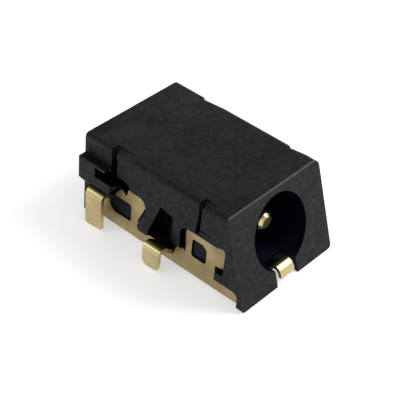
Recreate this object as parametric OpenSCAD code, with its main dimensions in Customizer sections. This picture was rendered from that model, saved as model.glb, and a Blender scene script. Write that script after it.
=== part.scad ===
// Miniature surface-mount DC barrel jack, 2.5 mm sleeve and 0.7 mm centre pin.
// Millimetres. +X is to the right looking into the mouth, +Y runs into the jack, +Z is up.
// z = 0 is the board, x = 0 the middle. Distances along Y are counted from the mouth's
// bottom lip, and the finished part is moved back so that its origin is under its middle.

/* [Housing] */
// Width of the housing at the board
body_w = 4.96; // [4.8:0.01:6.5]
// Width of the housing at its top face
top_w = 4.86; // [4.6:0.01:6.3]
// Height of the housing
body_h = 3.48; // [3.4:0.01:4.8]
// Length of the housing along the board
body_l = 7.64; // [7.2:0.01:10]
// How far the top lip of the mouth lies behind the bottom lip
mouth_lean = 1.08; // [0.6:0.02:1.4]
// Radius of the long edge between the top and the right side
right_edge_r = 0.3; // [0.1:0.01:0.4]
// Radius of the long edge between the top and the left side
left_edge_r = 0.16; // [0.05:0.01:0.3]
// Radius of the two long edges along the board
bottom_edge_r = 0.15; // [0.05:0.01:0.2]

/* [Barrel socket] */
// Bore for the plug's sleeve
bore_d = 2.75; // [2.4:0.05:3]
// Height of the bore's axis over the board
bore_z = 1.86; // [1.8:0.01:2]
// Thickness of the wall behind the bore
rear_wall = 1.3; // [1.1:0.05:2]
// Width of the slot that the spring leaf moves in
slot_w = 1.12; // [1.05:0.01:1.4]
// Length of the slot that opens into the bore
slot_l = 0.88; // [0.86:0.01:1.4]

/* [Centre pin] */
// Diameter of the centre pin
pin_d = 0.7; // [0.6:0.01:0.8]
// Distance from the middle of the mouth back to the pin's tip
pin_setback = 0.62; // [0.5:0.01:1.5]
// Chamfer round the pin's tip
pin_chamfer = 0.13; // [0.05:0.01:0.2]
// Diameter of the pin where it passes through the rear wall
tail_d = 1.05; // [1.04:0.01:1.2]
// Diameter of the pin's collar
collar_d = 1.35; // [1.25:0.05:1.5]
// Thickness of the pin's collar
collar_t = 0.25; // [0.15:0.05:0.4]
// Diameter of the stub that is riveted into the terminal
stub_d = 0.46; // [0.4:0.01:0.55]
// Diameter of the riveted head
rivet_d = 0.86; // [0.7:0.01:0.95]
// Height of the riveted head
rivet_h = 0.12; // [0.08:0.01:0.2]

/* [Metal strip] */
// Thickness of the contact strip
strip_t = 0.15; // [0.12:0.01:0.2]
// How far the rear solder feet reach out behind the housing
foot_l = 0.6; // [0.4:0.05:1]
// Width of the rear solder feet
foot_w = 0.7; // [0.5:0.05:0.9]
// Distance of each rear solder foot from the middle
foot_x = 1.2; // [1.1:0.05:1.3]
// Inside radius of the small bends
bend_r = 0.1; // [0.08:0.01:0.15]

/* [Sleeve spring] */
// Width of the spring leaf
leaf_w = 0.72; // [0.5:0.01:0.8]
// Height of the leaf's crest over the board
crest_z = 0.62; // [0.55:0.01:0.7]
// Outside radius of the tight bend at the crest
crest_r = 0.22; // [0.2:0.01:0.25]
// Outside radius of the nose that the plug slides up
nose_r = 0.42; // [0.38:0.01:0.45]
// Distance of the nose behind the mouth's bottom lip
nose_y = 0.03; // [0:0.01:0.2]
// Length of the flat base under the housing's floor
base_l = 2.3; // [2:0.05:3]
// Diameter of the moulded stud that holds the base
stud_d = 0.6; // [0.5:0.01:0.7]

/* [Side brackets] */
// Depth of the bracket's outer face under the housing's widest line
bracket_inset = 0.197; // [0.15:0.001:0.25]
// Height of the rail along the board
rail_h = 0.56; // [0.45:0.01:0.65]
// Gap between the rail's lower edge and the board
rail_gap = 0.08; // [0.03:0.01:0.12]
// Distance of the rail's front end from the mouth's bottom lip
rail_y = 0.44; // [0.4:0.01:0.7]
// Gap all round each bracket in its pocket
pocket_gap = 0.13; // [0.08:0.01:0.16]
// Distance from a bracket's face out to the outside of the front leg
front_leg_out = 0.77; // [0.6:0.01:0.85]
// Front edge of the front leg
front_leg_y = 3.41; // [3.35:0.01:3.5]
// Width of the front leg
front_leg_w = 0.75; // [0.6:0.01:0.85]
// Height of the front leg's crest
front_leg_z = 0.95; // [0.9:0.01:1.05]
// Distance from a bracket's face out to the outside of the rear leg
rear_leg_out = 0.63; // [0.5:0.01:0.8]
// Front edge of the rear leg
rear_leg_y = 6.35; // [6.3:0.01:6.4]
// Width of the rear leg
rear_leg_w = 0.78; // [0.6:0.01:0.85]
// Height of the rear leg's crest
rear_leg_z = 1.57; // [1.4:0.01:1.6]
// Height of the front plate's top edge
front_plate_h = 1.97; // [1.8:0.01:2.1]
// Height of the rear plate's top edge
rear_plate_h = 2.02; // [1.9:0.01:2.15]

/* [Hidden] */
$fn = 48;
eps = 0.01;

mouth_y = mouth_lean * bore_z / body_h;        // middle of the mouth
pin_tip_y = mouth_y + pin_setback;
bore_end = body_l - rear_wall;
overall_l = body_l + foot_l;
face_x = body_w / 2 - bracket_inset;           // outer face of a bracket
seat_x = face_x - strip_t;                     // floor of a bracket's pocket
boss_inset = 0.06;                             // moulded boss under the bracket's face
boss_gap = 0.05;                               // gap round a boss in its window
terminal_seat = body_l - strip_t;              // floor of the terminal's recess
terminal_gap = 0.05;                           // gap round the terminal in its recess
channel_gap = 0.06;                            // gap beside the spring base
press = 0.01;                                  // clearance of the pin in the rear wall
mid_r = bend_r + strip_t / 2;                  // middle line of the small bends

// Round metal strip colour and moulding colour
gold = [0.80, 0.71, 0.50];
moulding = [0.16, 0.16, 0.17];

// ---------- outlines ----------

function unit(v) = v / norm(v);

// One corner [x, y, r] between its neighbours, as the points of an arc of radius r
function arc_corner(a, b, c, n) =
    let(
        u = unit([a.x - b.x, a.y - b.y]),
        v = unit([c.x - b.x, c.y - b.y]),
        half = acos(u * v) / 2,
        turn = sign(u.x * v.y - u.y * v.x),
        mid = [b.x, b.y] + unit(u + v) * b.z / sin(half),
        start = [b.x, b.y] + u * b.z / tan(half),
        from = atan2(start.y - mid.y, start.x - mid.x),
        sweep = (180 - 2 * half) * -turn
    )
    [for (i = [0:n]) mid + b.z * [cos(from + sweep * i / n), sin(from + sweep * i / n)]];

// A closed outline from corners [x, y, r], each rounded to its own radius
function rounded(corners, n = 6) =
    let(m = len(corners))
    [for (i = [0:m - 1])
        let(b = corners[i])
        for (p = b.z > 0 ? arc_corner(corners[(i + m - 1) % m], b, corners[(i + 1) % m], n) : [[b.x, b.y]])
            p];

// The same corners moved outwards by d (the outline runs anticlockwise)
function grown(corners, d) =
    let(m = len(corners))
    [for (i = [0:m - 1])
        let(
            a = corners[(i + m - 1) % m],
            b = corners[i],
            c = corners[(i + 1) % m],
            u = unit([b.x - a.x, b.y - a.y]),
            v = unit([c.x - b.x, c.y - b.y]),
            convex = u.x * v.y - u.y * v.x > 0,
            out = [u.y, -u.x] + [v.y, -v.x],
            p = [b.x, b.y] + out * d * 2 / (out * out)
        )
        [p.x, p.y, b.z > 0 ? max(b.z + (convex ? d : -d), 0.02) : 0]];

// ---------- bent strip, drawn edge on ----------

// A straight length of strip between two points of its middle line
module bar(a, b) {
    side = strip_t / 2 * [unit(b - a).y, -unit(b - a).x];
    polygon([a + side, b + side, b - side, a - side]);
}

// A bend about centre c between the directions u and v, with its middle line at radius r
module bend(c, u, v, r = mid_r) {
    far = 2 * (r + strip_t);
    intersection() {
        translate(c)
            difference() {
                circle(r + strip_t / 2);
                circle(r - strip_t / 2);
            }
        polygon([c, c + far * u, c + far * unit(u + v), c + far * v]);
    }
}

// ---------- helpers ----------

// A profile drawn in (y, z), carried along X from x0 to x1
module along_x(x0, x1) {
    translate([x0, 0, 0])
        rotate([90, 0, 90])
            linear_extrude(x1 - x0)
                children();
}

// A profile drawn in (x, z), carried along Y from y0 to y1
module along_y(y0, y1) {
    translate([0, y1, 0])
        rotate([90, 0, 0])
            linear_extrude(y1 - y0)
                children();
}

// The jack's pieces are drawn from the mouth's lip and placed over the origin
module placed() {
    translate([0, -overall_l / 2, 0])
        children();
}

// ---------- side bracket ----------

rail_top = rail_h;
leg_rise = 0.75;                               // rise of a leg's run out from the bracket
leg_side = [-0.6, 0.8];                        // square to that run
plate_front = 1.13;                            // front edge of the front plate
plate_rear = 2.9;                              // rear edge of the front plate
ear_z = 1.02;                                  // ear beside the front leg
lug_front = 4.74;                              // front edge of the rear plate
rail_end = rear_leg_y + rear_leg_w + 0.05;
leg_tip_rise = 0.07;                           // front corner of a blade's tip over the board
front_window = [[1.92, 0.88, 0.12], [2.6, 0.88, 0.12], [2.58, 1.66, 0.12], [2.1, 1.66, 0.12], [1.92, 1.5, 0.1]];
rear_window = [[5.46, 0.64, 0.1], [6.3, 0.64, 0.12], [6.52, 0.86, 0.15], [6.52, 1.4, 0.12], [5.46, 1.41, 0.12]];

// Middle of the upper and lower bend of a leg that reaches out by d, with its crest at height z
function leg_top(d, z) = [face_x + d - strip_t / 2 - mid_r, z - strip_t / 2 - mid_r];
function leg_low(d, z) = [seat_x + strip_t / 2 + mid_r, leg_top(d, z).y - (d - 2 * mid_r) * leg_rise];
front_root = leg_low(front_leg_out, front_leg_z).y;
rear_root = leg_low(rear_leg_out, rear_leg_z).y;

// The flat blank's outline in (y, z), anticlockwise seen from the jack's left
function bracket_outline() = [
    [rail_y, rail_gap, 0],
    [rail_end, rail_gap, 0.05],
    [rail_end, rail_top, 0.05],
    [rear_leg_y + rear_leg_w, rail_top, 0.03],
    [rear_leg_y + rear_leg_w, rear_root, 0],
    [rear_leg_y, rear_root, 0],
    [rear_leg_y - 0.12, 1.5, 0.1],
    [rear_leg_y - 0.36, 1.82, 0.08],
    [rear_leg_y - 0.53, 1.76, 0],
    [rear_leg_y - 0.62, 1.62, 0.02],
    [rear_leg_y - 0.74, rear_plate_h, 0.1],
    [lug_front + 0.1, rear_plate_h, 0.17],
    [lug_front + 0.02, rear_plate_h - 0.28, 0.12],
    [lug_front + 0.4, 0.9, 0.15],
    [lug_front + 0.3, rail_top, 0.12],
    [front_leg_y + front_leg_w, rail_top, 0],
    [front_leg_y + front_leg_w, front_root, 0],
    [front_leg_y, front_root, 0],
    [front_leg_y - 0.12, 0.84, 0.1],
    [front_leg_y - 0.36, ear_z, 0.12],
    [front_leg_y - 0.56, 0.9, 0.02],
    [plate_rear, front_plate_h, 0.2],
    [plate_front + 0.22, front_plate_h, 0.3],
    [plate_front, front_plate_h + 0.09, 0.02],
    [plate_front + 0.02, 1.15, 0.03],
    [plate_front + 0.38, 1.1, 0.04],
    [plate_front + 0.38, rail_top, 0.16],
    [rail_y, rail_top, 0.12]
];

// Run, crest and blade of a leg between its two bends, seen along Y
module leg_section(over, under) {
    bar([over.x + mid_r, 0], [over.x + mid_r, over.y]);
    bend(over, [1, 0], leg_side);
    bar(over + mid_r * leg_side, under + mid_r * leg_side);
    bend(under, leg_side, [-1, 0]);
}

// One leg at y, reaching out by d, cut to its outline in (y, z)
module leg(y, w, d, z, skew, tip_r) {
    under = leg_low(d, z);
    intersection() {
        along_y(y - 1, y + w + 1)
            leg_section(leg_top(d, z), under);
        along_x(0, body_w)
            polygon(rounded([
                [y + skew, leg_tip_rise, 0.04],
                [y + w + skew, 0, tip_r],
                [y + w, under.y, 0],
                [y + w, z + 1, 0],
                [y, z + 1, 0],
                [y, under.y, 0]
            ]));
    }
}

module bracket() {
    difference() {
        union() {
            along_x(seat_x, face_x)
                polygon(rounded(bracket_outline()));
            leg(front_leg_y, front_leg_w, front_leg_out, front_leg_z, 0.07, 0.28);
            leg(rear_leg_y, rear_leg_w, rear_leg_out, rear_leg_z, 0, 0.1);
        }
        for (w = [front_window, rear_window])
            along_x(seat_x - 1, face_x + eps)
                polygon(rounded(w));
    }
}

module right_bracket() {
    color(gold)
        placed()
            bracket();
}

module left_bracket() {
    color(gold)
        placed()
            mirror([1, 0, 0])
                bracket();
}

// ---------- housing ----------

shoulder_out = 0.3;                            // how far the rear shoulder stands out
shoulder_lo = 1.73;
shoulder_hi = 2.66;
step_l = 0.48;                                 // how far its lower part runs on forwards
step_hi = 2.19;
shoulder_y = rear_leg_y + 0.24;                // front of the shoulder, over the rear leg
lip_l = 0.43;                                  // how far its top runs on as a thin lip
lip_t = 0.1;
relief_x = seat_x - 0.5;                       // floor of the deep reliefs
relief_hi = 2.37;                              // top of the rear relief in the wall
recess_d = 0.05;                               // depth of the two recesses of the upper edge

// Outline across the housing, in (x, z)
function housing_outline() = rounded([
    [-body_w / 2, 0, bottom_edge_r],
    [body_w / 2, 0, bottom_edge_r],
    [top_w / 2, body_h, right_edge_r],
    [-top_w / 2, body_h, left_edge_r]
], 8);

// Everything in front of the leaning mouth
module mouth_cut() {
    along_x(-body_w, body_w)
        polygon([[-1, -1], [0, -1], [0, 0], [mouth_lean, body_h], [mouth_lean * (1 + 1 / body_h), body_h + 1], [-1, body_h + 1]]);
}

// One length of the shoulder over the rear leg, with its top at height hi
module shoulder_block(y, hi) {
    wall = (body_w + (top_w - body_w) * shoulder_lo / body_h) / 2;
    along_y(y, body_l)
        polygon(rounded([
            [wall - 0.5, shoulder_lo - 0.5, 0],
            [wall - 0.02, shoulder_lo - 0.42, 0],
            [wall + shoulder_out, shoulder_lo, 0.04],
            [wall + shoulder_out, hi, 0.03],
            [wall - 0.5, hi, 0]
        ]));
}

// Shoulder, its lower part in front and the pointed lip over the relief between them
module shoulder() {
    outer = body_w / 2 + shoulder_out - 0.02;
    shoulder_block(shoulder_y, shoulder_hi);
    shoulder_block(shoulder_y - step_l, step_hi);
    translate([0, 0, shoulder_hi - lip_t])
        linear_extrude(lip_t)
            polygon([
                [body_w / 2 - 0.5, shoulder_y + 0.1],
                [body_w / 2 - 0.5, shoulder_y - 0.18],
                [body_w / 2, shoulder_y - 0.18],
                [outer, shoulder_y - lip_l],
                [outer, shoulder_y + 0.1]
            ]);
}

// The pocket of one bracket, open at the board, with a boss left in each window
module bracket_pocket() {
    difference() {
        union() {
            along_x(seat_x, body_w)
                polygon(rounded(grown(bracket_outline(), pocket_gap)));
            along_x(seat_x, body_w)
                translate([rail_y - pocket_gap, -1])
                    square([rail_end - rail_y + 2 * pocket_gap, 1 + rail_h / 2]);
            // room for the two legs
            along_x(seat_x, body_w) {
                translate([rear_leg_y - pocket_gap, 0])
                    square([rear_leg_w + 2 * pocket_gap, rear_leg_z + pocket_gap / 2]);
                translate([front_leg_y - pocket_gap, 0])
                    square([front_leg_w + 2 * pocket_gap, front_leg_z + pocket_gap / 2]);
            }
        }
        for (w = [front_window, rear_window])
            along_x(seat_x - 1, face_x - boss_inset)
                polygon(rounded(grown(w, -boss_gap)));
    }
}

// The relief over the front leg, deepest along its rear edge
module front_relief() {
    front = front_leg_y - 0.26;
    intersection() {
        along_x(seat_x - 1, body_w)
            polygon(rounded([
                [front - 0.05, 0.6, 0],
                [front + 1.35, 0.6, 0],
                [front + 1.32, 0.95, 0.05],
                [front + 0.8, 2.32, 0.04],
                [front + 0.25, 2.2, 0.2],
                [front - 0.05, 1.9, 0.2]
            ]));
        linear_extrude(body_h)
            polygon([
                [body_w / 2 - 0.03, front],
                [body_w, front],
                [body_w, front + 1.45],
                [relief_x + 0.1, front + 1.45],
                [relief_x + 0.1, front + 1.05],
                [seat_x - 0.05, front + 0.65],
                [body_w / 2 - 0.13, front + 0.3]
            ]);
    }
}

// The deep relief in front of the shoulder, which runs on under the shoulder's lip
module rear_relief() {
    outer = body_w / 2 + shoulder_out + 0.1;
    along_x(relief_x, body_w)
        polygon(rounded([
            [lug_front + 0.68, 1.66, 0],
            [shoulder_y - step_l, 1.66, 0],
            [shoulder_y - step_l, relief_hi, 0],
            [lug_front + 0.86, relief_hi + 0.03, 0.1],
            [lug_front + 0.66, relief_hi - 0.1, 0.1]
        ]));
    along_y(shoulder_y - step_l - eps, shoulder_y + 0.25)
        polygon([
            [relief_x, step_hi - 0.6],
            [outer, step_hi + 0.01],
            [outer, shoulder_hi - lip_t],
            [body_w / 2 + 0.1, shoulder_hi - lip_t],
            [body_w / 2 - 0.1, relief_hi],
            [relief_x, relief_hi]
        ]);
}

// A deep wedge-shaped slot down one side, its rear edge at y, from z up under the top edge
module side_slot(y, w, z) {
    along_x(relief_x - 0.1, body_w)
        polygon([[y, z], [y - 0.13, body_h - 0.05], [y - 0.19, body_h - 0.07], [y - w, z + 0.7], [y - w, z]]);
}

// A shallow recess of the side's upper edge, deepest at y and fading out forwards over l
module edge_recess(y, l) {
    lean = atan(recess_d / l);
    translate([top_w / 2, y - l, body_h])
        rotate([-lean, 0, lean])
            translate([-top_w / 2, 0, -body_h])
                along_y(0, l)
                    difference() {
                        translate([top_w / 2 - right_edge_r - eps, relief_hi])
                            square(body_h);
                        polygon(housing_outline());
                    }
}

// Channel under the floor for the spring's base and foot, with the stud left standing
module spring_channel() {
    difference() {
        translate([0, 0, -1])
            linear_extrude(1 + strip_t)
                intersection() {
                    spring_plan(channel_gap);
                    translate([-body_w, base_front - 0.2])
                        square([2 * body_w, body_l]);
                }
        translate([stud_at.x, stud_at.y, 0.02])
            cylinder(h = 1, d = stud_d);
    }
}

module side_cuts() {
    bracket_pocket();
    front_relief();
    rear_relief();
    side_slot(rear_leg_y + 0.05, 0.3, relief_hi - 0.1);
    side_slot(plate_rear - 0.54, 0.16, front_plate_h + 0.2);
    edge_recess(rear_leg_y, 1.05);
    edge_recess(plate_rear - 0.6, 0.7);
}

module housing() {
    color(moulding)
        placed()
            difference() {
                union() {
                    along_y(0, body_l)
                        polygon(housing_outline());
                    shoulder();
                    mirror([1, 0, 0])
                        shoulder();
                }
                mouth_cut();
                // barrel socket
                translate([0, bore_end, bore_z])
                    rotate([90, 0, 0])
                        cylinder(h = body_l + 1, d = bore_d);
                // hole for the pin in the rear wall
                translate([0, body_l + 1, bore_z])
                    rotate([90, 0, 0])
                        cylinder(h = rear_wall + 2, d = tail_d + 2 * press);
                // slot for the spring leaf, right through the floor at the mouth
                along_x(-slot_w / 2, slot_w / 2) {
                    translate([-1, -1])
                        square([1 + slot_l, 1 + bore_z]);
                    translate([-1, -1])
                        square([1 + base_front, 1 + leaf_room]);
                }
                spring_channel();
                // recess for the pin's terminal in the rear face
                along_y(terminal_seat, body_l + 1)
                    terminal_outline(terminal_gap);
                side_cuts();
                mirror([1, 0, 0])
                    side_cuts();
            }
}

// ---------- centre pin ----------

module centre_pin() {
    back = body_l;
    color(gold)
        placed()
            translate([0, 0, bore_z])
                rotate([-90, 0, 0])
                    rotate_extrude()
                        polygon([
                            [0, pin_tip_y],
                            [pin_d / 2 - pin_chamfer, pin_tip_y],
                            [pin_d / 2, pin_tip_y + pin_chamfer],
                            [pin_d / 2, bore_end - collar_t],
                            [collar_d / 2, bore_end - collar_t],
                            [collar_d / 2, bore_end],
                            [tail_d / 2, bore_end],
                            [tail_d / 2, terminal_seat],
                            [stub_d / 2, terminal_seat],
                            [stub_d / 2, back],
                            [rivet_d / 2, back],
                            [rivet_d / 2 - rivet_h, back + rivet_h],
                            [0, back + rivet_h]
                        ]);
}

// ---------- centre pin's terminal ----------

// Head round the pin and arm down to the foot, in (x, z)
module terminal_outline(d) {
    translate([0, bore_z])
        circle(rivet_d / 2 + 0.2 + d);
    polygon(rounded(grown([
        [foot_x - foot_w / 2, -1, 0],
        [foot_x + foot_w / 2, -1, 0],
        [foot_x + foot_w / 2, 0.85, 0],
        [0.45, bore_z + 0.3, 0],
        [-0.3, bore_z - 0.4, 0],
        [foot_x - foot_w / 2, 0.7, 0]
    ], d)));
}

// Upright plate, bend and foot, in (y, z)
module terminal_section() {
    corner = [body_l + bend_r, bend_r + strip_t];
    bar([terminal_seat + strip_t / 2, corner.y], [terminal_seat + strip_t / 2, body_h]);
    bend(corner, [-1, 0], [0, -1]);
    bar([corner.x, strip_t / 2], [overall_l, strip_t / 2]);
}

module pin_terminal() {
    color(gold)
        placed()
            difference() {
                intersection() {
                    along_x(-body_w / 2, body_w / 2)
                        terminal_section();
                    along_y(terminal_seat - 1, overall_l + 1)
                        terminal_outline(0);
                }
                translate([0, body_l + 1, bore_z])
                    rotate([90, 0, 0])
                        cylinder(h = 2, d = stub_d);
            }
}

// ---------- sleeve spring ----------

leaf_room = 0.33;                              // height of the channel the leaf moves in
leaf_z = 0.15;                                 // height of the leaf behind its crest
base_z = strip_t / 2;
base_front = body_l - 1 - base_l;
stud_at = [-0.35, base_front + base_l * 0.55];
crest_mid_r = crest_r - strip_t / 2;
nose_mid_r = nose_r - strip_t / 2;
crest_side = [0.8, 0.6];                       // square to the steep run behind the crest
nose_side = [-0.352, 0.936];                   // square to the strip between crest and nose
nose_step = (nose_mid_r - crest_mid_r) * nose_side;
crest_c = [nose_y + nose_r + nose_step.x, crest_z - crest_r];
nose_c = crest_c - nose_step;
crest_drop = crest_c.y + 0.6 * (crest_mid_r + mid_r) - leaf_z - mid_r;
dip_c = [crest_c.x + 0.8 * (crest_mid_r + mid_r) + 0.75 * crest_drop, leaf_z + mid_r];

// Foot, base, sloping leaf, crest and nose, in (y, z)
module spring_section() {
    polygon([
        [dip_c.x, leaf_z - base_z],
        [base_front, 0],
        [overall_l, 0],
        [overall_l, strip_t],
        [base_front, strip_t],
        [dip_c.x, leaf_z + base_z]
    ]);
    bend(dip_c, [0, -1], -crest_side);
    bar(dip_c - mid_r * crest_side, crest_c + crest_mid_r * crest_side);
    bend(crest_c, crest_side, nose_side, crest_mid_r);
    bend(nose_c, nose_side, [-1, 0], nose_mid_r);
}

// Leaf, wide base and foot in plan, with the base grown sideways by d
module spring_plan(d) {
    polygon(rounded(grown([
        [-leaf_w / 2, -1, 0],
        [leaf_w / 2, -1, 0],
        [leaf_w / 2, base_front, 0.2],
        [0.6, base_front + 0.1, 0.1],
        [0.6, base_front + base_l, 0.1],
        [-foot_x + foot_w / 2, base_front + base_l, 0.2],
        [-foot_x + foot_w / 2, overall_l + 1, 0],
        [-foot_x - foot_w / 2, overall_l + 1, 0],
        [-foot_x - foot_w / 2, base_front + 0.1, 0.1],
        [-leaf_w / 2, base_front, 0.2]
    ], d)));
}

module sleeve_spring() {
    color(gold)
        placed()
            difference() {
                intersection() {
                    along_x(-body_w / 2, body_w / 2)
                        spring_section();
                    linear_extrude(body_h)
                        spring_plan(0);
                }
                translate([stud_at.x, stud_at.y, -1])
                    cylinder(h = 2, d = stud_d + 0.04);
            }
}

housing();
centre_pin();
pin_terminal();
sleeve_spring();
left_bracket();
right_bracket();
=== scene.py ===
"""Looks of a low surface-mount DC barrel jack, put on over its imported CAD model."""
import math

import bmesh
import bpy
import numpy as np
from mathutils import Matrix, Vector


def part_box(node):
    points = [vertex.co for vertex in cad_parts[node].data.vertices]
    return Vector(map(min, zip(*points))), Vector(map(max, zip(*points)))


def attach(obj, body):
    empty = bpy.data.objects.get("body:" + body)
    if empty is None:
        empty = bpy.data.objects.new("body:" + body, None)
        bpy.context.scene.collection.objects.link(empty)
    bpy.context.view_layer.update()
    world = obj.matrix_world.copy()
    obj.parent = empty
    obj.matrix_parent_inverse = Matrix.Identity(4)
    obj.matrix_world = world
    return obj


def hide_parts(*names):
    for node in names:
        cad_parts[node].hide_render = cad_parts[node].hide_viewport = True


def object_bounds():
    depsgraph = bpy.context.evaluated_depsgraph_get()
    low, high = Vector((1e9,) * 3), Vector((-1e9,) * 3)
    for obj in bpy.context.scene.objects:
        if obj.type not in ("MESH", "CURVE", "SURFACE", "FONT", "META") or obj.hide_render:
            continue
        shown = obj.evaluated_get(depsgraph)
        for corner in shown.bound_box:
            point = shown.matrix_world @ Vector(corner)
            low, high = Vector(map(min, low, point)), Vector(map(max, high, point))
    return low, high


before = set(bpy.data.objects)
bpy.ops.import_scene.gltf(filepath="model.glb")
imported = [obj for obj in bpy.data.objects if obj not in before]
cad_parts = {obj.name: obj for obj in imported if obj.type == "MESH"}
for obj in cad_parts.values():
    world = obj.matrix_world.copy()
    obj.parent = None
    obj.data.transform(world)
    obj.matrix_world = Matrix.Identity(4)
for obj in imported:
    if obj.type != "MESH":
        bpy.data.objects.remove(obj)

cad_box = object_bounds()
MM = 0.001

# ---- board -------------------------------------------------------------------------------------
# The jack stands on a flat sheet of white paper. The paper fades into a white room, so that
# only the soft shadow round the jack's feet shows where it is.


def linear(colour):
    """An sRGB hex colour as linear red, green, blue and alpha: the inverse of the display curve."""
    c = np.array([int(colour[i:i + 2], 16) for i in (1, 3, 5)]) / 255
    c = np.where(c <= 0.04045, c / 12.92, ((c + 0.055) / 1.055) ** 2.4)
    return (*c.tolist(), 1.0)


def add(tree, kind, inputs=None, **settings):
    """One new node of a tree, with its settings, and its sockets filled or linked."""
    made = tree.nodes.new("ShaderNode" + kind)
    for name, value in settings.items():
        setattr(made, name, value)
    for name, value in (inputs or {}).items():
        socket = made.inputs[name] if isinstance(name, int) else next(
            s for s in made.inputs if s.name == name and s.enabled)
        if isinstance(value, bpy.types.Node):
            tree.links.new(next(s for s in value.outputs if s.enabled), socket)
        elif isinstance(value, bpy.types.NodeSocket):
            tree.links.new(value, socket)
        else:
            socket.default_value = value
    return made


def new_material(name):
    """An empty material and its tree, with the output node ready."""
    material = bpy.data.materials.new(name)
    material.use_nodes = True
    material.node_tree.nodes.clear()
    return material, material.node_tree, add(material.node_tree, "OutputMaterial")


def seen_directly(tree):
    """1 for the rays that show a surface itself or its mirror image, 0 for the light it sheds."""
    rays = add(tree, "LightPath").outputs
    mirrored = add(tree, "Math", {0: rays["Is Glossy Ray"], 1: rays["Is Transmission Ray"]},
                   operation="MAXIMUM")
    return add(tree, "Math", {0: mirrored, 1: rays["Is Camera Ray"]}, operation="MAXIMUM")


# Smooth white paper: the lift brings lit paper to full white and leaves its shadows in place. It
# grows from 30 to 80 mm away, where the lamps no longer reach.
paper, tree, out = new_material("white_paper")
place = add(tree, "TexCoord").outputs["Object"]
away = add(tree, "VectorMath", {0: place}, operation="LENGTH").outputs["Value"]
lift = add(tree, "MapRange", {"Value": away, "From Min": 30 * MM, "From Max": 80 * MM,
                              "To Min": 0.44, "To Max": 0.66})
lift = add(tree, "Math", {0: seen_directly(tree), 1: lift}, operation="MULTIPLY")
sheet = add(tree, "BsdfDiffuse", {"Color": linear("#fafafa")})
glow = add(tree, "Emission", {"Color": linear("#ffffff"), "Strength": lift})
tree.links.new(add(tree, "AddShader", {0: sheet, 1: glow}).outputs[0], out.inputs["Surface"])

sheet_side, sheet_drop = 600, 0.01
bpy.ops.mesh.primitive_plane_add(size=sheet_side * MM, location=(0, 0, cad_box[0][2] - sheet_drop * MM))
floor = bpy.context.object
floor.name = "floor"
floor.data.materials.append(paper)

# ---- housing -----------------------------------------------------------------------------------
# One moulding in black glass-filled nylon for reflow soldering. The mould is spark-eroded, which
# leaves a dull fine grain, and its cut edges come out a few hundredths of a millimetre round.
low, high = (np.array(corner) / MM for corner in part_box("housing"))
bore_height, bore_r = 1.86, 1.375
mouth_lean = 1.08  # how far the mouth's upper lip lies behind its foot
half_foot, side_lean = 2.48, 0.05  # half the width at the board, and how far each side leans in
skin_depth, moulded_edge = 0.12, 0.03


def cad_copy(node, name):
    """A copy of a CAD node's mesh with its corners joined and its flat triangles merged, which
    stands for the node."""
    copy = bpy.data.objects.new(name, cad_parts[node].data.copy())
    bpy.context.scene.collection.objects.link(copy)
    body = bmesh.new()
    body.from_mesh(copy.data)
    bmesh.ops.remove_doubles(body, verts=body.verts, dist=0.0002 * MM)
    bmesh.ops.dissolve_limit(body, angle_limit=math.radians(0.3), verts=body.verts, edges=body.edges)
    body.to_mesh(copy.data)
    body.free()
    copy.data.materials.clear()
    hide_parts(node)
    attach(copy, "root")
    return copy


def refine_bore(piece, height, radius, finest=4, coarsest=40, tolerance=0.0005):
    """Splits each chord of a bore along the line x = 0, z = height that turns between the finest
    and the coarsest step in degrees, and moves the new points out from that line to the radius:
    p = c + radius (p - c) / |p - c|, where c is the point of the line abreast of p."""
    centre = np.array([0, 0, height]) * MM
    body = bmesh.new()
    body.from_mesh(piece.data)
    groups = {}
    for edge in body.edges:
        x, _, z = (np.array([v.co for v in edge.verts]) - centre).T
        if np.abs(np.hypot(x, z) - radius * MM).max() > tolerance * MM:
            continue
        start, end = np.degrees(np.arctan2(z, x))
        turn = abs((end - start + 180) % 360 - 180)
        if finest < turn < coarsest:
            groups.setdefault(math.ceil(turn / finest) - 1, []).append(edge)
    for cuts, edges in groups.items():
        edges = [e for e in edges if e.is_valid]
        made = bmesh.ops.subdivide_edges(body, edges=edges, cuts=cuts, use_grid_fill=True)
        for v in made["geom_inner"]:
            if isinstance(v, bmesh.types.BMVert):
                spoke = (np.array(v.co) - centre) * (1, 0, 1)
                v.co += Vector(spoke * (radius * MM / np.linalg.norm(spoke) - 1))
    body.to_mesh(piece.data)
    body.free()


def soften(piece, width, edge=-1, sharp=math.radians(28)):
    """Rounds the edges sharper than an angle by a bevel of the given width in millimetres and
    shades the rest smooth. The bevel takes the material whose place in the piece's list is given
    as edge, or that of the faces beside it for -1."""
    piece.data.shade_smooth()
    piece.data.set_sharp_from_angle(angle=sharp)
    bevel = piece.modifiers.new("edge", "BEVEL")
    bevel.width = width * MM
    bevel.segments = 2
    bevel.limit_method = "ANGLE"
    bevel.angle_limit = sharp
    bevel.use_clamp_overlap = True
    bevel.harden_normals = True
    bevel.material = edge


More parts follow.
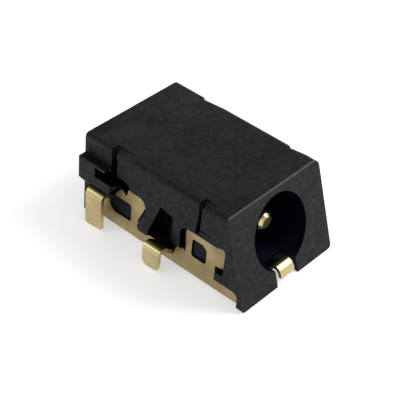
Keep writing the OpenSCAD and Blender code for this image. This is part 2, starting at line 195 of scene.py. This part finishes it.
# Glass-filled nylon: dull and nearly black, bluish on the sides and a little greener on the broad
# top, where its cloudy streaks are lighter and warmer. The mould's spark-eroded grain of about
# 0.04 mm is drawn at 0.07 mm to show. The sharp upper lip of the mouth carries a pale painted highlight.
nylon, tree, out = new_material("moulded_glass_nylon")
place = add(tree, "TexCoord").outputs["Object"]
axes = add(tree, "SeparateXYZ", {"Vector": place}).outputs
clouds = add(tree, "TexNoise", {"Vector": place, "Scale": 1 / (1.9 * MM), "Detail": 6.0, "Roughness": 0.7})
specks = add(tree, "TexNoise", {"Vector": place, "Scale": 1 / (0.2 * MM), "Detail": 4.0, "Roughness": 0.75})
grain = add(tree, "TexNoise", {"Vector": place, "Scale": 1 / (0.07 * MM), "Detail": 2.0})
top = add(tree, "MapRange", {"Value": axes["Z"], "From Min": (high[2] - 0.4) * MM, "From Max": high[2] * MM})
skin = add(tree, "Mix", {"Factor": top, "A": linear("#04070e"), "B": linear("#020909")}, data_type="RGBA")
streak = add(tree, "Mix", {"Factor": top, "A": linear("#0c1018"), "B": linear("#222826")}, data_type="RGBA")
cloud = add(tree, "MapRange", {"Value": clouds, "From Min": 0.4, "From Max": 0.66})
# Painted shade: the cloudy streaks fade towards the front, so the front of the moulding is darker.
front_painted_shade = add(tree, "MapRange", {"Value": axes["Y"], "From Min": -3 * MM, "From Max": 3 * MM,
                                "To Min": 0.3, "To Max": 1.0})
cloud = add(tree, "Math", {0: cloud, 1: front_painted_shade}, operation="MULTIPLY")
skin = add(tree, "Mix", {"Factor": cloud, "A": skin, "B": streak}, data_type="RGBA")
spot = add(tree, "MapRange", {"Value": specks, "From Min": 0.47, "From Max": 0.72, "To Max": 0.65})
skin = add(tree, "Mix", {"Factor": spot, "A": skin, "B": linear("#282d2d")}, data_type="RGBA")
across = add(tree, "Mapping", {"Vector": place, "Scale": (0.0, 1.0, 1.0)})
# Painted highlight: a pale line along the mouth's upper lip, where the edge catches the light.
lip = Vector((0.0, low[1] + mouth_lean, high[2])) * MM
off_lip = add(tree, "VectorMath", {0: across, 1: lip}, operation="DISTANCE").outputs["Value"]
lip_painted_highlight = add(tree, "MapRange", {"Value": off_lip, "From Min": 0.02 * MM, "From Max": 0.06 * MM,
                                "To Min": 0.7, "To Max": 0.0})
skin = add(tree, "Mix", {"Factor": lip_painted_highlight, "A": skin, "B": linear("#5e6163")}, data_type="RGBA")
dull = add(tree, "MapRange", {"Value": specks, "From Min": 0.3, "From Max": 0.7,
                              "To Min": 0.66, "To Max": 0.5})
relief = add(tree, "Bump", {"Strength": 0.5, "Distance": 0.006 * MM, "Height": grain})
surface = add(tree, "BsdfPrincipled", {"Base Color": skin, "Roughness": dull, "Normal": relief,
                                       "IOR": 1.5, "Specular IOR Level": 0.22})
tree.links.new(surface.outputs[0], out.inputs["Surface"])

# The bore, slots and pockets are formed by smooth cores. There the nylon is painted a deep navy
# black with little shine as painted shade, with drag marks along the jack where the cores were pulled out.
recess_shade_nylon, tree, out = new_material("nylon_painted_recess_shade")
place = add(tree, "TexCoord").outputs["Object"]
drag = add(tree, "Mapping", {"Vector": place, "Scale": (1.0, 0.1, 1.0)})
drag = add(tree, "TexNoise", {"Vector": drag, "Scale": 1 / (0.08 * MM), "Detail": 3.0})
skin = add(tree, "Mix", {"Factor": drag, "A": linear("#060915"), "B": linear("#0b0e1e")}, data_type="RGBA")
dull = add(tree, "MapRange", {"Value": drag, "From Min": 0.3, "From Max": 0.7,
                              "To Min": 0.42, "To Max": 0.3})
surface = add(tree, "BsdfPrincipled", {"Base Color": skin, "Roughness": dull,
                                       "IOR": 1.5, "Specular IOR Level": 0.1})
tree.links.new(surface.outputs[0], out.inputs["Surface"])


def paint_recess_shade(piece, depth):
    """Gives the second material, the painted recess shade, to the faces whose middles lie deeper than a
    depth in millimetres under every outer plane: the least distance to bottom, top, leaning front, rear and
    sides."""
    mid = np.empty(len(piece.data.polygons) * 3)
    piece.data.polygons.foreach_get("center", mid)
    x, y, z = mid.reshape(-1, 3).T / MM
    front = ((y - low[1]) * high[2] - z * mouth_lean) / math.hypot(high[2], mouth_lean)
    side = half_foot - side_lean * z / high[2] - np.abs(x)
    inside = np.min([z, high[2] - z, front, high[1] - y, side], 0) > depth
    piece.data.polygons.foreach_set("material_index", inside.astype(np.int32))


housing = cad_copy("housing", "housing_moulding")
refine_bore(housing, bore_height, bore_r)
housing.data.materials.append(nylon)
housing.data.materials.append(recess_shade_nylon)
# Painted shade: faces deeper than the skin depth take the dark recess material.
paint_recess_shade(housing, skin_depth)
soften(housing, moulded_edge)

# ---- contact strip -----------------------------------------------------------------------------
# Brackets, spring and terminal are stamped and bent from 0.15 mm brass strip, nickel-plated with
# a flash of gold. Rolling leaves fine lines along the strip, and the punch rounds its edges.
punched_edge = 0.035


def paint_leaf_shade(tree, place, tint):
    """A tint turned dull dark brown on the part of the leaf behind its crest, a painted shade deep in
    the bore: within 0.7 mm of the plane x = 0 and 1.5 mm of the leaf's middle, y = -2 mm."""
    axes = add(tree, "SeparateXYZ", {"Vector": place}).outputs
    aside = add(tree, "Math", {0: axes["X"]}, operation="ABSOLUTE")
    middle = add(tree, "MapRange", {"Value": aside, "From Min": 0.7 * MM, "From Max": 0.8 * MM,
                                    "To Min": 1.0, "To Max": 0.0})
    along = add(tree, "Math", {0: axes["Y"], 1: 2.0 * MM}, operation="ADD")
    along = add(tree, "Math", {0: along}, operation="ABSOLUTE")
    behind = add(tree, "MapRange", {"Value": along, "From Min": 1.5 * MM, "From Max": 1.66 * MM,
                                    "To Min": 1.0, "To Max": 0.0})
    leaf_shade_mask = add(tree, "Math", {0: middle, 1: behind}, operation="MULTIPLY")
    return add(tree, "Mix", {"Factor": leaf_shade_mask, "A": tint, "B": linear("#3f3627")}, data_type="RGBA")


# Gold flash over nickel: a pale champagne metal with a soft, slightly streaky shine. The flat
# plates of the brackets are painted darker than the legs and spring, a painted shade for the shadowed
# paper they mirror. The darker tint lies between 1.8 and 2.5 mm from the plane x = 0. The rolling lines
# lie about 0.02 mm apart and are drawn at 0.05 mm to show.
strip, tree, out = new_material("gold_flashed_brass_strip")
place = add(tree, "TexCoord").outputs["Object"]
along = add(tree, "Mapping", {"Vector": place, "Scale": (1.0, 0.08, 1.0)})
lines = add(tree, "TexNoise", {"Vector": along, "Scale": 1 / (0.05 * MM), "Detail": 2.0})
haze = add(tree, "TexNoise", {"Vector": place, "Scale": 1 / (1.1 * MM), "Detail": 3.0})
haze = add(tree, "MapRange", {"Value": haze, "From Min": 0.35, "From Max": 0.65})
# Painted shade: the plates' tint is darker than that of the legs and spring.
plate_painted_shade = add(tree, "Mix", {"Factor": haze, "A": linear("#917f5b"), "B": linear("#ad9c74")}, data_type="RGBA")
unshaded_tint = add(tree, "Mix", {"Factor": haze, "A": linear("#b6a679"), "B": linear("#c9b98b")}, data_type="RGBA")
axes = add(tree, "SeparateXYZ", {"Vector": place}).outputs
aside = add(tree, "Math", {0: axes["X"]}, operation="ABSOLUTE")
inner = add(tree, "MapRange", {"Value": aside, "From Min": 1.75 * MM, "From Max": 1.85 * MM})
outer = add(tree, "MapRange", {"Value": aside, "From Min": 2.5 * MM, "From Max": 2.62 * MM,
                               "To Min": 1.0, "To Max": 0.0})
flat = add(tree, "Math", {0: inner, 1: outer}, operation="MULTIPLY")
tint = add(tree, "Mix", {"Factor": flat, "A": unshaded_tint, "B": plate_painted_shade}, data_type="RGBA")
# Painted shade on the leaf behind its crest, deep in the bore.
tint = paint_leaf_shade(tree, place, tint)
dull = add(tree, "MapRange", {"Value": lines, "From Min": 0.25, "From Max": 0.75,
                              "To Min": 0.26, "To Max": 0.4})
relief = add(tree, "Bump", {"Strength": 0.15, "Distance": 0.003 * MM, "Height": lines})
surface = add(tree, "BsdfPrincipled", {"Base Color": tint, "Metallic": 1.0, "Roughness": dull,
                                       "Normal": relief})
tree.links.new(surface.outputs[0], out.inputs["Surface"])

# The rounded edges of the strip are painted paler than its faces: a painted highlight along every edge.
edge_painted_highlight, tree, out = new_material("strip_edge_painted_highlight")
place = add(tree, "TexCoord").outputs["Object"]
highlight_variation = add(tree, "TexNoise", {"Vector": place, "Scale": 1 / (0.3 * MM), "Detail": 3.0})
tint = add(tree, "Mix", {"Factor": highlight_variation, "A": linear("#c6b689"), "B": linear("#efe4bf")}, data_type="RGBA")
tint = paint_leaf_shade(tree, place, tint)
surface = add(tree, "BsdfPrincipled", {"Base Color": tint, "Metallic": 1.0, "Roughness": 0.3})
tree.links.new(surface.outputs[0], out.inputs["Surface"])

for node, slot in (("left_bracket", "bracket_strip"), ("right_bracket", "bracket_strip"),
                   ("sleeve_spring", "contact_strip"), ("pin_terminal", "contact_strip")):
    piece = cad_copy(node, node + "_strip")
    piece.data.materials.append(strip)
    piece.data.materials.append(edge_painted_highlight)
    soften(piece, punched_edge, edge=1)

# ---- centre pin --------------------------------------------------------------------------------
# A turned brass pin pressed through the rear wall, with a chamfered tip, a collar against the
# wall and its rear end riveted over the terminal. It carries the same flash of gold.
tip, back = (corner[1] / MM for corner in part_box("centre_pin"))
rear_wall, terminal_t = 1.3, 0.15
rear_face = high[1]
bore_end, seat = rear_face - rear_wall, rear_face - terminal_t
tip_r, chamfer_l, pin_r = 0.22, 0.13, 0.35
collar_r, collar_l = 0.675, 0.25
tail_r, stub_r = 0.525, 0.23
rivet_r, rivet_end_r = 0.43, 0.31
turned_edge = 0.03


def turned(name, profile, height, count=96):
    """A body turned about the line x = 0, z = height: the profile's points (y, r) are carried
    round it, p(y, a) = (r sin a, y, height + r cos a), with a running from 0 to a full turn."""
    y, r = np.array(profile).T
    a = np.linspace(0, 2 * np.pi, count, endpoint=False)
    points = np.stack([np.outer(r, np.sin(a)), np.repeat(y[:, None], count, 1),
                       height + np.outer(r, np.cos(a))], 2).reshape(-1, 3) * MM
    i, j = np.meshgrid(np.arange(len(y) - 1), np.arange(count), indexing="ij")
    k = (j + 1) % count
    quads = np.stack([i * count + j, i * count + k, (i + 1) * count + k, (i + 1) * count + j], 2)
    mesh = bpy.data.meshes.new(name)
    mesh.from_pydata(points.tolist(), [], quads.reshape(-1, 4).tolist())
    body = bmesh.new()
    body.from_mesh(mesh)
    bmesh.ops.remove_doubles(body, verts=body.verts, dist=0.0005 * MM)
    bmesh.ops.recalc_face_normals(body, faces=body.faces)
    body.to_mesh(mesh)
    body.free()
    made = bpy.data.objects.new(name, mesh)
    bpy.context.scene.collection.objects.link(made)
    return made


def eased(corners, r, n=4, most=0.45):
    """The corners of a profile, each eased over a length r of both its legs, or over the given
    share of a leg at most: the n + 1 points follow the quadratic curve
    (1-t)^2 a + 2t(1-t) b + t^2 c, where b is the corner and a and c lie on its legs."""
    c = np.array(corners, float)
    t = np.linspace(0, 1, n + 1)[:, None]
    done = [c[:1]]
    for p, q, s in zip(c[:-2], c[1:-1], c[2:]):
        u, v = p - q, s - q
        a = q + u * min(r / np.linalg.norm(u), most)
        b = q + v * min(r / np.linalg.norm(v), most)
        done.append((1 - t) ** 2 * a + 2 * t * (1 - t) * q + t ** 2 * b)
    return np.concatenate([*done, c[-1:]])


pin = turned("centre_pin_turned", eased([
    (tip, 0), (tip, tip_r), (tip + chamfer_l, pin_r),
    (bore_end - collar_l, pin_r), (bore_end - collar_l, collar_r), (bore_end, collar_r),
    (bore_end, tail_r), (seat, tail_r), (seat, stub_r), (rear_face, stub_r),
    (rear_face, rivet_r), (back, rivet_end_r), (back, 0)], turned_edge), bore_height)
pin.data.shade_smooth()
pin.data.set_sharp_from_angle(angle=math.radians(40))
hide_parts("centre_pin")
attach(pin, "root")

# Turned brass under the same flash: the tool leaves rings square to the pin, drawn 0.05 mm apart.
# The flat end is dull and dark brown.
turned_brass, tree, out = new_material("gold_flashed_turned_brass")
place = add(tree, "TexCoord").outputs["Object"]
rings = add(tree, "Mapping", {"Vector": place, "Scale": (0.05, 1.0, 0.05)})
rings = add(tree, "TexNoise", {"Vector": rings, "Scale": 1 / (0.05 * MM), "Detail": 2.0})
dull = add(tree, "MapRange", {"Value": rings, "From Min": 0.3, "From Max": 0.7,
                              "To Min": 0.2, "To Max": 0.34})
relief = add(tree, "Bump", {"Strength": 0.2, "Distance": 0.002 * MM, "Height": rings})
axes = add(tree, "SeparateXYZ", {"Vector": place}).outputs
flat_end = add(tree, "MapRange", {"Value": axes["Y"], "From Min": (tip + 0.005) * MM,
                              "From Max": (tip + 0.03) * MM, "To Min": 1.0, "To Max": 0.0})
tint = add(tree, "Mix", {"Factor": flat_end, "A": linear("#d3c392"), "B": linear("#4d4638")}, data_type="RGBA")
dull = add(tree, "Mix", {"Factor": flat_end, "A": dull, "B": 0.5}, data_type="FLOAT")
surface = add(tree, "BsdfPrincipled", {"Base Color": tint, "Metallic": 1.0, "Roughness": dull,
                                       "Normal": relief})
tree.links.new(surface.outputs[0], out.inputs["Surface"])
pin.data.materials.append(turned_brass)

# ---- light and camera --------------------------------------------------------------------------
# Small-product light: a soft box in front on the right, a weaker one behind on the left,
# and a white room.

scene = bpy.context.scene
scene.view_settings.view_transform = "Standard"
world = bpy.data.worlds.new("white_room")
scene.world = world
world.use_nodes = True
tree = world.node_tree
tree.nodes.clear()
# The room is seen white up to 17 degrees above the paper, and fades to dark grey from there to
# 40 degrees. The light that it sheds on the jack is the same from everywhere.
height = add(tree, "SeparateXYZ", {"Vector": add(tree, "TexCoord").outputs["Generated"]}).outputs["Z"]
wall = add(tree, "MapRange", {"Value": height, "From Min": 0.3, "From Max": 0.64,
                              "To Min": 1.0, "To Max": 0.18})
shed = add(tree, "Background", {"Color": linear("#ffffff"), "Strength": 0.45})
seen = add(tree, "Background", {"Color": linear("#ffffff"), "Strength": wall})
mixed = add(tree, "MixShader", {"Fac": seen_directly(tree), 1: shed, 2: seen})
tree.links.new(mixed.outputs[0], add(tree, "OutputWorld").inputs["Surface"])


def soft_box(name, place, size, power, aim=(0, 0, 1)):
    """A square area lamp, its side and place in millimetres, turned to face the jack's middle."""
    lamp = bpy.data.lights.new(name, "AREA")
    lamp.size = size * MM
    lamp.energy = power
    box = bpy.data.objects.new(name, lamp)
    scene.collection.objects.link(box)
    box.location = Vector(place) * MM
    box.rotation_euler = (Vector(aim) - Vector(place)).to_track_quat("-Z", "Y").to_euler()


soft_box("key", (36, -27, 42), 34, 0.022)
soft_box("rim", (-36, 29, 36), 18, 0.0032)

# The view is from the left, in front and above. The camera's own axes are its right, up and
# backward directions, the last with these azimuth and elevation, rolled about the line of sight.
azimuth, elevation, roll = math.radians(-51.293), math.radians(39.213), math.radians(4.837)
eye = Vector((-27.354, -21.810, 29.682)) * MM
backward = Vector((math.sin(azimuth) * math.cos(elevation), -math.cos(azimuth) * math.cos(elevation),
                   math.sin(elevation)))
level = Vector((math.cos(azimuth), math.sin(azimuth), 0))
steep = backward.cross(level)
right = level * math.cos(roll) + steep * math.sin(roll)
upward = steep * math.cos(roll) - level * math.sin(roll)
lens = bpy.data.cameras.new("camera")
lens.lens = 113.02
lens.sensor_width = 36
lens.clip_start = 1 * MM
camera = bpy.data.objects.new("camera", lens)
scene.collection.objects.link(camera)
camera.matrix_world = Matrix.Translation(eye) @ Matrix((right, upward, backward)).transposed().to_4x4()
scene.camera = camera
